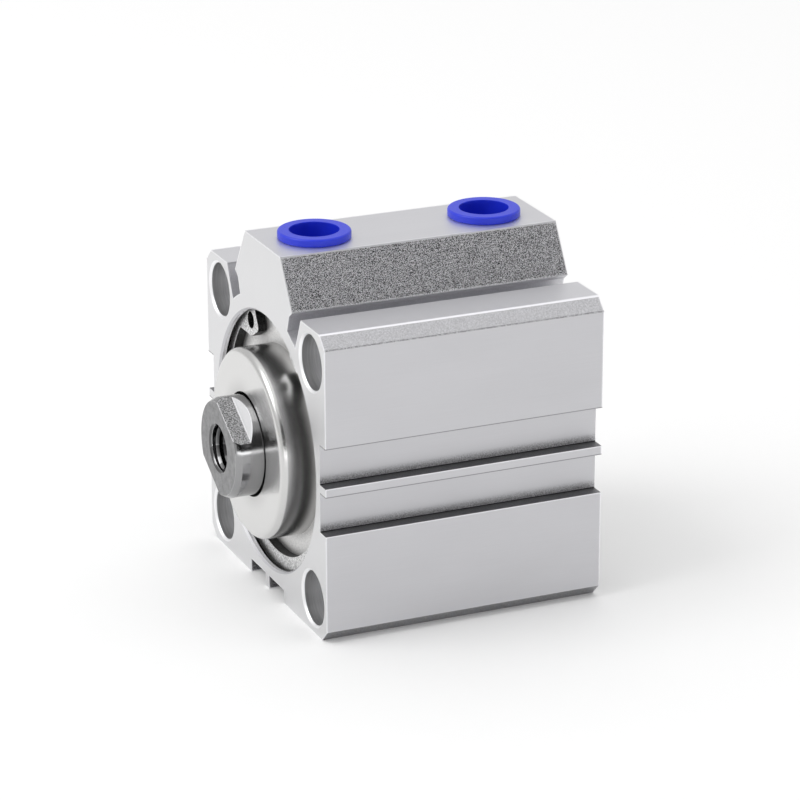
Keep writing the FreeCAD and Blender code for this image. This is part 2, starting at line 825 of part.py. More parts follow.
# Caps
def level_rims(shape, z, radius):
    """The circular edges of one radius at one height."""
    found = []
    for edge in shape.Edges:
        if not isinstance(edge.Curve, Part.Circle):
            continue
        if abs(edge.Curve.Center.z - z) < SAME and abs(edge.Curve.Radius - radius) < SAME:
            found.append(edge)
    return found


def port_cap(x):
    """Moulded cap: a flange on the port's face and a closed cup that fills the thread."""
    skirt_radius = PORT_RADIUS - CAP_PLAY
    cup_radius = skirt_radius - CAP_WALL
    end = port_floor + CAP_END_GAP
    top = block_top + CAP_FLANGE
    points = [
        (0, end),
        (skirt_radius, end),
        (skirt_radius, block_top),
        (cap_flange_radius, block_top),
        (cap_flange_radius, top),
        (cup_radius, top),
        (cup_radius, end + CAP_WALL),
        (0, end + CAP_WALL),
    ]
    corners = [FreeCAD.Vector(x + radius, 0, z) for radius, z in points]
    section = Part.Face(Part.makePolygon(corners + corners[:1]))
    shape = section.revolve(FreeCAD.Vector(x, 0, 0), FreeCAD.Vector(0, 0, 1), 360)
    top_round = min(CAP_TOP_ROUND, 0.55 * CAP_FLANGE)
    foot_round = min(CAP_FOOT_ROUND, 0.35 * CAP_FLANGE)
    shape = shape.makeFillet(top_round, level_rims(shape, top, cap_flange_radius))
    shape = shape.makeFillet(foot_round, level_rims(shape, block_top, cap_flange_radius))
    return shape.makeFillet(CAP_MOUTH_ROUND, level_rims(shape, top, cup_radius))


def front_port_plug():
    return port_cap(front_port)


def rear_port_plug():
    return port_cap(rear_port)


SUB_PARTS = [
    body,
    front_cover,
    front_cover_o_ring,
    rod_bush,
    rod_seal,
    front_circlip,
    front_bumper,
    rear_cover,
    rear_cover_o_ring,
    rear_circlip,
    rear_bumper,
    piston,
    piston_back_plate,
    piston_seal,
    wear_ring,
    piston_magnet,
    magnet_washer,
    piston_rod,
    piston_rod_o_ring,
    piston_screw,
    lock_washer,
    front_port_plug,
    rear_port_plug,
]


def main():
    os.makedirs("parts", exist_ok=True)
    for make in SUB_PARTS:
        name = make.__name__
        shape = make().removeSplitter()
        solids = shape.Solids
        print(f"{name}: {len(solids)} solid, {shape.Volume:.1f} mm3, valid {shape.isValid()}")
        Part.makeCompound(solids).exportStep(f"parts/{name}.step")


main()
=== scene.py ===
import math

import bmesh
import bpy
from mathutils import Matrix, Vector


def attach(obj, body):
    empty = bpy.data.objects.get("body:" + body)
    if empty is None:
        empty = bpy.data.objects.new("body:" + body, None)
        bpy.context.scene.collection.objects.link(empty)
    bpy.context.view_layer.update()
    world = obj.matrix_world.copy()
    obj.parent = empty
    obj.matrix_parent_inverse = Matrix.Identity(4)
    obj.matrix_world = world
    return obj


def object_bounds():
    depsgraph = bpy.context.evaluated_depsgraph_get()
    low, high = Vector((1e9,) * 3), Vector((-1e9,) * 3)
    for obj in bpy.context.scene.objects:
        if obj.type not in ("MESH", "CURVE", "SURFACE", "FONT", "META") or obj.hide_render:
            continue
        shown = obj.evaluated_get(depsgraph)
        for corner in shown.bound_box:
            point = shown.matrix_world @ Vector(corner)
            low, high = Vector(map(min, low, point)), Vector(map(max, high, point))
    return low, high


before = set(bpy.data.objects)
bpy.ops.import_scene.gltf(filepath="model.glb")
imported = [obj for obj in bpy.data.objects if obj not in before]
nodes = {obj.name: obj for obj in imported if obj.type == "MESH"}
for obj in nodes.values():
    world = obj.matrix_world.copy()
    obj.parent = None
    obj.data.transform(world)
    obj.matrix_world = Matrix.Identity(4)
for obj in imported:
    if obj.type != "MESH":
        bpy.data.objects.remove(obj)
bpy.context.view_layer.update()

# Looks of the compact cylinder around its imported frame. Metres throughout, X out of the front
# along the rod, Z up to the ports.
MM = 0.001

# Camera, at the photograph's viewing angle
TARGET = Vector((-29.0, 0.0, 0.0)) * MM
DISTANCE = 710.46 * MM
AZIMUTH = math.radians(156.563)
ELEVATION = math.radians(20.044)
ROLL = math.radians(-0.124)
TARGET_RIGHT = 0.23 * MM  # where the target lies from the middle of the picture
TARGET_UP = -4.043 * MM
SENSOR = 36.0
LENS = 160.8
CLIP_START = 0.01

# Light. A height is the Z of a direction, and a heading is the Y of its horizontal part.
SKY_COLOUR = 0.8
SKY = 0.90
CEILING = 1.35
CEILING_HEIGHTS = (0.5, 0.95)  # the sky brightens to the ceiling between these
DARK_WALL = 0.02
DARK_HEADINGS = (0.70, 0.87)  # the dark wall begins between these
DARK_HEIGHTS = (0.55, 0.82)  # and ends between these
STRIP = 4.5  # low strip of light in front of the dark wall
STRIP_TOP = 0.085
STRIP_FADE = 0.012
KEY_PLACE = Vector((0.9, -0.1, 1.1))
KEY_SIZE = 0.9
KEY_POWER = 6.5

# Floor
FLOOR_SIZE = 6.0
FLOOR_GAP = 0.01 * MM  # keeps the floor and the underside from lying in one plane
FLOOR_COLOUR = 0.91
FLOOR_ROUGHNESS = 0.9
FLOOR_SPECULAR = 0.1
FLOOR_GLOW = 0.10  # seen by the camera and in reflections, so that the white floor stays white

# Places on the body that its finish follows, as in the part. Its two sides mirror each other.
BODY_SIDE = 31.0 * MM
BODY_LENGTH = 58.0 * MM
FLANGE_EDGE = 28.5 * MM
BLOCK_TOP = (9.3 * MM, 40.5 * MM)
BLOCK_FOOT = (15.0 * MM, 31.0 * MM)
CHANNEL_PLACE = 15.0 * MM
CHANNEL_REACH = 4.2 * MM
CHANNEL_HEIGHTS = (24.0 * MM, 30.9 * MM)
CHAMFER_HEIGHTS = (28.4 * MM, 31.1 * MM)
CHAMFER_LEAN = (0.68, 0.73)  # how far a chamfer's normal points sideways
SLOT_FLOOR = 28.2 * MM
SLOT_TOP = 8.8 * MM  # upper edge of the side's upper slot; the lower slot mirrors it
SLOT_LEDGE = 0.9 * MM
HOLE_PLACE = 24.0 * MM
HOLE_REACH = 6.0 * MM
HOLE_CHAMFER = 0.45 * MM
SEAT_RADIUS = 26.0 * MM
SEAT_DEPTH = 1.6 * MM
RING_GROOVE = (-4.0 * MM, -1.1 * MM)
PORTS = (-10.8 * MM, -46.8 * MM)
PORT_RADIUS = 5.9 * MM
PORT_PITCH = 1.337 * MM
PORT_THREAD = (29.5 * MM, 39.6 * MM)

# Places on the front cover and the rod
COVER_FACE = -4.0 * MM
BOSS_FACE = 4.0 * MM
BOSS_ROUND = 1.3 * MM
BOSS_ROUND_RADIUS = 17.0 * MM
FLAT_TURN = math.radians(31.0)
FLAT_HEIGHT = 8.0 * MM
FLAT_START = 4.0 * MM
RUN_OUT_RADII = (7.0 * MM, 7.5 * MM)
MOUTH_RADII = (4.6 * MM, 6.0 * MM)
ROD_THREAD_RADIUS = 4.9 * MM
ROD_THREAD_SHADOW_DEPTHS = (8.0 * MM, 9.2 * MM)  # painted shade darkens the thread inward between these

# Shades, from black at 0 to white at 1. A pair holds the two ends of a change or of a grain.
# Sides, and tops painted lighter than the sides as light falling from above
SIDE_SHADE = 0.59
LIT_TOP_SHADE = 0.78
END_SHADE = 0.73
BLASTED_SHADES = (0.01, 0.75)
# Chamfers: painted shade on those below the middle, painted light on those above it
CHAMFER_SHADED_AND_LIT = (0.36, 0.60)
# The channel: painted light, lighter than the sides against the shade in it
CHANNEL_SHADE = 0.70
# Painted shade on the ledges of the side's slots, and low on their floors
LEDGE_SHADOW = 0.27
# A thin painted shadow along the edges above the slots
LIP_SHADOW = 0.30
FLOOR_SHADOW = (0.05, 0.6)  # what painted shade takes from a slot's floor low down, broken by grain
SLOT_FOOT_SHADOW = (0.05, 1.0)  # what the foot of that floor keeps under a thin painted shadow
# Painted shade in the insides of the underside's slots
UNDERSIDE_SLOT_SHADOWS = (0.03, 0.32)
# Corner holes: painted shade near the faces, lighter deeper in, and a painted highlight on the
# rims
HOLE_SHADED_TO_LIT = (0.50, 0.88)
HOLE_RIM_HIGHLIGHT = 0.96
SEAT_SHADE = 0.75
# Painted shade in the groove of the front ring
GROOVE_SHADOWS = (0.01, 0.08)
# Painted highlight along the body's outward edges
EDGE_HIGHLIGHT_SHADE = 0.90
# Painted shadow lines and painted highlight lines along edges that run the body's length
SHADOW_LINE_SHADE = 0.2
SHADOW_LINE_STRENGTH = 0.8
HIGHLIGHT_LINE_SHADE = 1.0
COVER_SIDE_SHADE = 0.68
COVER_FACE_SHADE = 0.70
STEP_SHADES = (0.80, 1.0)
BOSS_FACE_SHADE = 0.67
BOSS_ROUND_SHADE = 0.64
# Painted highlight along the cover's edges
COVER_EDGE_HIGHLIGHT = 0.98
# Painted reflection: the rod's side is made dark, for the dark surroundings it reflects
ROD_SIDE_SHADE = 0.33
ROD_END_SHADE = 0.27
ROD_FLAT_SHADES = (0.10, 0.60)
# Painted shade in the rod's thread, darker deeper in
ROD_THREAD_SHADOWS = (0.06, 0.36)
# Painted highlight along the rod's outer edges
ROD_EDGE_HIGHLIGHT = 0.95
# Painted highlight on the run-outs at the flats' ends
RUN_OUT_HIGHLIGHT = 0.92
# Painted shade on the mouth of the rod's threaded hole
MOUTH_SHADOW = 0.15
RING_FACE_SHADES = (0.38, 0.95)
# Painted shade on the rings' sides
RING_SIDE_SHADOWS = (0.015, 0.06)
EXTRUDED_TINT = (0.970, 0.967, 1.0, 1.0)
CUT_TINT = (0.99, 0.99, 1.0, 1.0)

# Roughness
SIDE_ROUGHNESS = 0.46
BLASTED_ROUGHNESS = 0.6
END_ROUGHNESS = 0.4
LINE_ROUGHNESS = 0.3
SEAT_ROUGHNESS = 0.2
COVER_SIDE_ROUGHNESS = 0.25
COVER_FACE_ROUGHNESS = 0.28
STEP_ROUGHNESS = 0.5
BOSS_FACE_ROUGHNESS = 0.19
BOSS_ROUND_ROUGHNESS = 0.26
ROD_SIDE_ROUGHNESS = 0.14
ROD_END_ROUGHNESS = 0.45
ROD_FLAT_ROUGHNESS = 0.62
RUN_OUT_ROUGHNESS = 0.35

# The part of a noise's range that most of it lies in, and the harder contrast of blasting
NOISE = (0.3, 0.7)
BLASTING = (0.38, 0.62)

# Broken edges: their widths, and how faces are joined and rounded
EDGE_WIDTHS = {
    "body": 0.22 * MM,
    "front_cover": 0.15 * MM,
    "rear_cover": 0.10 * MM,
    "front_circlip": 0.12 * MM,
    "rear_circlip": 0.12 * MM,
    "piston_rod": 0.14 * MM,
}
WELD_DISTANCE = 0.001 * MM
FLAT_ANGLE = math.radians(0.3)
SHARP_ANGLE = math.radians(25.0)
EDGE_SEGMENTS = 2

# Threads: ridges inside the holes along X on the given (Y, Z) axes, from a start to an end
CORNER_THREAD = {
    "body": "barrel",
    "slot": "anodised_body",
    "axes": [(y * HOLE_PLACE, z * HOLE_PLACE) for y in (-1, 1) for z in (-1, 1)],
    "radius": 3.4 * MM,
    "depth": 0.2 * MM,
    "pitch": 1.25 * MM,
    "steps": 32,
}
THREADS = {
    "rod_thread": {
        "body": "piston_and_rod",
        "slot": "rod_steel",
        "axes": [(0.0, 0.0)],
        "radius": 4.5 * MM,
        "depth": 0.31 * MM,
        "pitch": 1.5 * MM,
        "steps": 48,
        "run": (9.2 * MM, -5.0 * MM),
    },
    "front_corner_threads": {**CORNER_THREAD, "run": (-8.6 * MM, -24.6 * MM)},
    "rear_corner_threads": {**CORNER_THREAD, "run": (-33.4 * MM, -49.4 * MM)},
}
THREAD_ROOT = 0.04 * MM  # how far a ridge reaches into the metal
RIDGE_HALF_WIDTH = 0.42  # as a share of the pitch
RIDGE_FADE = 0.5  # turns over which a ridge grows at its start and shrinks at its end
RIDGE_LEAST = 0.05
RIDGE_SMOOTH = math.radians(35)


def link(thing):
    bpy.context.scene.collection.objects.link(thing)


def grey(level):
    return (level, level, level, 1.0)


# Node trees and materials
class Tree:
    """A node tree under construction."""

    def __init__(self, tree):
        self.tree = tree
        self.tree.nodes.clear()

    def add(self, kind, **settings):
        node = self.tree.nodes.new(kind)
        for key, value in settings.items():
            setattr(node, key, value)
        return node

    def join(self, socket, value):
        """Links a socket to another node's output, or sets it to a plain value."""
        if isinstance(value, bpy.types.NodeSocket):
            self.tree.links.new(value, socket)
        else:
            socket.default_value = value

    def calculate(self, operation, *values):
        node = self.add("ShaderNodeMath", operation=operation)
        for socket, value in zip(node.inputs, values):
            self.join(socket, value)
        return node.outputs[0]

    def chain(self, operation, first, *others):
        """One operation over several values, from the first to the last."""
        total = first
        for other in others:
            total = self.calculate(operation, total, other)
        return total

    def plus(self, *values):
        return self.chain("ADD", *values)

    def minus(self, value, other):
        return self.calculate("SUBTRACT", value, other)

    def times(self, *values):
        return self.chain("MULTIPLY", *values)

    def largest(self, *values):
        return self.chain("MAXIMUM", *values)

    def size(self, value):
        return self.calculate("ABSOLUTE", value)

    def spread(self, value, low, high, start=0.0, end=1.0, smooth=True):
        """Maps low..high to start..end, held at both ends."""
        kind = "SMOOTHSTEP" if smooth else "LINEAR"
        node = self.add("ShaderNodeMapRange", interpolation_type=kind)
        names = ("Value", "From Min", "From Max", "To Min", "To Max")
        for name, given in zip(names, (value, low, high, start, end)):
            self.join(node.inputs[name], given)
        return node.outputs["Result"]

    def axis(self, vector, name):
        node = self.add("ShaderNodeSeparateXYZ")
        self.join(node.inputs[0], vector)
        return node.outputs[name]


class Finish(Tree):
    """A material under construction around one Principled shader."""

    def __init__(self, name, metallic=0.0):
        self.material = bpy.data.materials.new(name)
        self.material.use_nodes = True
        super().__init__(self.material.node_tree)
        self.shader = self.add("ShaderNodeBsdfPrincipled")
        output = self.add("ShaderNodeOutputMaterial")
        self.join(output.inputs["Surface"], self.shader.outputs[0])
        self.place = self.add("ShaderNodeTexCoord")
        self.set("Metallic", metallic)

    def set(self, name, value):
        self.join(self.shader.inputs[name], value)

    # Where a point is
    def where(self, name):
        """One coordinate of the point on the piece, in metres."""
        return self.axis(self.place.outputs["Object"], name)

    def facing(self, name):
        """One component of the surface's normal, in the piece's own frame."""
        return self.axis(self.place.outputs["Normal"], name)

    def from_axis(self, *offsets):
        """Distance from an axis, from the two offsets across it."""
        squares = [self.times(offset, offset) for offset in offsets]
        return self.calculate("SQRT", self.plus(*squares))

    def radius(self):
        """Distance from the rod's axis."""
        return self.from_axis(self.where("Y"), self.where("Z"))

    # Shares from 0 to 1
    def near(self, value, place, reach, soft):
        """1 where a value is within reach of a place, falling to 0 over a soft edge."""
        gap = self.size(self.minus(value, place))
        return self.spread(gap, reach, reach + soft, 1.0, 0.0)

    def between(self, value, low, high, soft):
        """1 where a value lies between two others, falling to 0 over a soft edge."""
        above = self.spread(value, low - soft, low, 0.0, 1.0)
        below = self.spread(value, high, high + soft, 1.0, 0.0)
        return self.times(above, below)

    def crevice_shade(self, reach, power):
        """Painted shade: 1 on open surfaces, less where other surfaces stand close by, to darken a
        colour.
        """
        node = self.add("ShaderNodeAmbientOcclusion", samples=8)
        node.inputs["Distance"].default_value = reach
        return self.calculate("POWER", node.outputs["AO"], power)

    def edges(self, reach):
        """1 along outward edges, falling to 0 away from them. The finishes paint highlights along
        edges with it.
        """
        node = self.add("ShaderNodeAmbientOcclusion", samples=8, inside=True, only_local=True)
        node.inputs["Distance"].default_value = reach
        return self.spread(node.outputs["AO"], 0.95, 0.6)

    # Textures
    def noise(self, size, detail=2.0, stretch=(1, 1, 1)):
        """Noise whose lumps are about the given size across, in metres."""
        point = self.add("ShaderNodeVectorMath", operation="MULTIPLY")
        self.join(point.inputs[0], self.place.outputs["Object"])
        point.inputs[1].default_value = [part / size for part in stretch]
        node = self.add("ShaderNodeTexNoise")
        self.join(node.inputs["Vector"], point.outputs[0])
        node.inputs["Scale"].default_value = 1.0
        node.inputs["Detail"].default_value = detail
        return node.outputs["Fac"]

    def wobble(self, noise, amount):
        """A noise moved to swing around 0, times an amount."""
        return self.times(self.minus(noise, 0.5), amount)

    def grained(self, noise, low, high):
        """A noise spread in a straight line over two shades."""
        return self.spread(noise, *NOISE, low, high, smooth=False)

    def ripples(self, value, pitch):
        """A wave along a value, such as the rings that a turning tool leaves."""
        return self.calculate("SINE", self.times(value, 2 * math.pi / pitch))

    # Mixes and outputs
    def mix(self, share, low, high):
        """A number between two numbers."""
        return self.mixed("FLOAT", share, low, high)

    def blend(self, share, low, high):
        """A colour between two colours."""
        return self.mixed("RGBA", share, low, high)

    def mixed(self, kind, share, low, high):
        node = self.add("ShaderNodeMix", data_type=kind)
        for name, value in (("Factor", share), ("A", low), ("B", high)):
            self.join(node.inputs[name], value)
        return node.outputs["Result"]

    def shaded(self, colour, level):
        """A colour times a number."""
        node = self.add("ShaderNodeVectorMath", operation="SCALE")
        self.join(node.inputs[0], colour)
        self.join(node.inputs["Scale"], level)
        return node.outputs[0]

    def bump(self, height, depth, strength=1.0, normal=None):
        node = self.add("ShaderNodeBump")
        self.join(node.inputs["Height"], height)
        node.inputs["Distance"].default_value = depth
        self.join(node.inputs["Strength"], strength)
        if normal is not None:
            self.join(node.inputs["Normal"], normal)
        return node.outputs["Normal"]


# Camera, light and floor
def add_camera():
    back = Vector(
        (
            math.sin(AZIMUTH) * math.cos(ELEVATION),
            -math.cos(AZIMUTH) * math.cos(ELEVATION),
            math.sin(ELEVATION),
        )
    )
    level_right = Vector((math.cos(AZIMUTH), math.sin(AZIMUTH), 0.0))
    level_up = back.cross(level_right)
    right = math.cos(ROLL) * level_right + math.sin(ROLL) * level_up
    up = -math.sin(ROLL) * level_right + math.cos(ROLL) * level_up
    data = bpy.data.cameras.new("camera")
    data.sensor_width = SENSOR
    data.lens = LENS
    data.clip_start = CLIP_START
    camera = bpy.data.objects.new("camera", data)
    link(camera)
    place = TARGET + DISTANCE * back - TARGET_RIGHT * right - TARGET_UP * up
    turn = Matrix((right, up, back)).transposed().to_4x4()
    camera.matrix_world = Matrix.Translation(place) @ turn
    bpy.context.scene.camera = camera


def add_world():
    """A white studio, brighter overhead, with a dark wall and a strip of light on its +Y side."""
    world = bpy.data.worlds.new("studio")
    bpy.context.scene.world = world
    world.use_nodes = True
    studio = Tree(world.node_tree)
    direction = studio.add("ShaderNodeTexCoord").outputs["Generated"]
    height = studio.axis(direction, "Z")
    level_part = studio.add("ShaderNodeCombineXYZ")
    for name in ("X", "Y"):
        studio.join(level_part.inputs[name], studio.axis(direction, name))
    compass = studio.add("ShaderNodeVectorMath", operation="NORMALIZE")
    studio.join(compass.inputs[0], level_part.outputs[0])
    ahead = studio.spread(studio.axis(compass.outputs[0], "Y"), *DARK_HEADINGS)
    low = studio.spread(height, *DARK_HEIGHTS, 1.0, 0.0)
    wall = studio.spread(studio.times(ahead, low), 0.0, 1.0, 1.0, DARK_WALL)
    sky = studio.spread(height, *CEILING_HEIGHTS, SKY, CEILING)
    strip = studio.spread(height, STRIP_TOP, STRIP_TOP + STRIP_FADE, STRIP, 0.0)
    light = studio.add("ShaderNodeBackground")
    studio.join(light.inputs["Color"], grey(SKY_COLOUR))
    level = studio.plus(studio.times(wall, sky), studio.times(ahead, strip))
    studio.join(light.inputs["Strength"], level)
    output = studio.add("ShaderNodeOutputWorld")
    studio.join(output.inputs["Surface"], light.outputs[0])


def add_key():
    """A large soft lamp above the front of the cylinder."""
    data = bpy.data.lights.new("key", "AREA")
    data.shape = "SQUARE"
    data.size = KEY_SIZE
    data.energy = KEY_POWER
    lamp = bpy.data.objects.new("key", data)
    link(lamp)
    lamp.location = KEY_PLACE
    lamp.rotation_euler = (TARGET - KEY_PLACE).to_track_quat("-Z", "Y").to_euler()


def white_floor():
    finish = Finish("floor_white")
    finish.set("Base Color", grey(FLOOR_COLOUR))
    finish.set("Roughness", FLOOR_ROUGHNESS)
    finish.set("Specular IOR Level", FLOOR_SPECULAR)
    path = finish.add("ShaderNodeLightPath")
    names = ("Is Camera Ray", "Is Glossy Ray", "Is Transmission Ray")
    seen = finish.largest(*[path.outputs[name] for name in names])
    finish.set("Emission Color", grey(1.0))
    finish.set("Emission Strength", finish.times(seen, FLOOR_GLOW))
    return finish.material


def add_floor():
    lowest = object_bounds()[0][2] - FLOOR_GAP
    half = FLOOR_SIZE / 2
    mesh = bpy.data.meshes.new("floor")
    corners = [(-half, -half, 0), (half, -half, 0), (half, half, 0), (-half, half, 0)]
    mesh.from_pydata(corners, [], [(0, 1, 2, 3)])
    floor = bpy.data.objects.new("floor", mesh)
    floor.location = (TARGET.x, TARGET.y, lowest)
    link(floor)
    mesh.materials.append(white_floor())


# Finish of the body, place by place. Its y is the distance from the middle plane.
def painted_slot_shadows(finish, y, z, upward, grain, level):
    """Where the side's two slots are, and their painted shade: dark ledges, floors darker low down
    and broken by grain, and a thin shadow at their foot.
    """
    in_slot = finish.times(
        finish.between(y, SLOT_FLOOR - 0.2 * MM, BODY_SIDE - 0.02 * MM, soft=0.02 * MM),
        finish.spread(finish.size(z), SLOT_TOP + 0.1 * MM, SLOT_TOP),
    )
    in_upper = finish.spread(z, 0.4 * MM, 0.5 * MM)
    over_ledge = finish.minus(z, finish.mix(in_upper, -SLOT_TOP, SLOT_LEDGE))
    # Painted shade low on the floors near the ledges, broken by grain, with a thin painted shadow
    # at the foot.
    low_on_floor = finish.spread(over_ledge, 2.2 * MM, 0.4 * MM)
    floor_shadow = finish.times(low_on_floor, finish.spread(grain, *NOISE, *FLOOR_SHADOW))
    foot = finish.spread(over_ledge, 0.08 * MM, 0.22 * MM, *SLOT_FOOT_SHADOW)
    floor = finish.times(level, finish.minus(1.0, floor_shadow), foot)
    # Painted shade on the ledges.
    ledge_shadow = finish.plus(LEDGE_SHADOW, finish.wobble(grain, 0.34))
    return in_slot, finish.mix(upward, floor, ledge_shadow)


def hole_shades(finish, x, y, z, end):
    """Where the corner holes are, and their shades: tool marks, a painted shade near the faces,
    and a painted highlight on the rims.
    """
    from_hole = finish.from_axis(
        finish.minus(y, HOLE_PLACE),
        finish.minus(finish.size(z), HOLE_PLACE),
    )
    in_hole = finish.spread(from_hole, HOLE_REACH, HOLE_REACH - 0.05 * MM)
    middle = BODY_LENGTH / 2
    from_face = finish.minus(middle, finish.size(finish.plus(x, middle)))
    tool_marks = finish.noise(0.3 * MM, detail=1.0, stretch=(1, 0.05, 0.05))
    # Painted shade: darker near the faces, lighter deeper in.
    wall = finish.spread(from_face, 0.4 * MM, 4.5 * MM, *HOLE_SHADED_TO_LIT)
    wall = finish.plus(wall, finish.wobble(tool_marks, 0.30))
    # Painted highlight on the rims.
    rim_highlight = finish.spread(from_face, HOLE_CHAMFER, HOLE_CHAMFER + 0.15 * MM, 1.0, 0.0)
    wall = finish.mix(rim_highlight, wall, HOLE_RIM_HIGHLIGHT)
    return in_hole, finish.mix(end, wall, END_SHADE)


def underside_slots(finish, y, z, end):
    """Where the insides of the underside's slots are."""
    return finish.times(
        finish.between(y, SLOT_LEDGE - 0.02 * MM, SLOT_TOP + 0.02 * MM, soft=0.02 * MM),
        finish.spread(z, -SLOT_FLOOR + 0.3 * MM, -SLOT_FLOOR + 0.2 * MM),
        finish.minus(1.0, end),
    )


def slot_lip_shadows(finish, y, z):
    """Where the edges above the side's two slots are, which get a thin painted shadow."""
    upper = finish.near(z, SLOT_TOP, 0.16 * MM, soft=0.08 * MM)
    lower = finish.near(z, -SLOT_LEDGE, 0.16 * MM, soft=0.08 * MM)
    outside = finish.spread(y, SLOT_FLOOR, SLOT_FLOOR + 0.1 * MM)
    return finish.times(outside, finish.largest(upper, lower))


def painted_edge_lines(finish, y, z, grain):
    """Where the painted highlight lines and painted shadow lines run along the body's edges, some
    of them broken up.
    """

    def along(place, reach, soft):
        across, up = place
        gap = finish.from_axis(finish.minus(y, across), finish.minus(z, up))
        return finish.spread(gap, reach, reach + soft, 1.0, 0.0)

    broken = finish.spread(grain, 0.40, 0.50)
    bright = finish.largest(
        along(BLOCK_TOP, 0.30 * MM, 0.1 * MM),
        along((FLANGE_EDGE, BODY_SIDE), 0.34 * MM, 0.1 * MM),
        finish.times(along(BLOCK_FOOT, 0.22 * MM, 0.1 * MM), broken),
    )
    dark = finish.times(along((BODY_SIDE, FLANGE_EDGE), 0.13 * MM, 0.08 * MM), broken)
    return bright, dark


def cover_seats(finish, x):
    """Where the seats of the covers are, and the groove of the front retaining ring."""
    radius = finish.radius()
    deepest = SEAT_RADIUS + SEAT_DEPTH
    in_seat = finish.times(
        finish.between(radius, SEAT_RADIUS - 0.2 * MM, deepest, soft=0.02 * MM),
        finish.spread(finish.size(finish.facing("X")), 0.5, 0.4),
    )
    in_groove = finish.times(
        finish.between(radius, SEAT_RADIUS + 0.05 * MM, deepest, soft=0.05 * MM),
        finish.between(x, *RING_GROOVE, soft=0.05 * MM),
    )
    return in_seat, in_groove


def port_threads(finish, x, y, z):
    """The ridges of the threads in both ports."""
    along = finish.chain("MINIMUM", *[finish.size(finish.minus(x, port)) for port in PORTS])
    from_port = finish.from_axis(along, y)
    in_port = finish.times(
        finish.between(from_port, PORT_RADIUS - 0.1 * MM, PORT_RADIUS + 0.05 * MM, soft=0.02 * MM),
        finish.between(z, *PORT_THREAD, soft=0.2 * MM),
    )
    turn = finish.calculate("ARCTAN2", finish.where("Y"), along)
    climb = finish.plus(z, finish.times(turn, PORT_PITCH / (2 * math.pi)))
    return finish.times(finish.ripples(climb, PORT_PITCH), in_port)


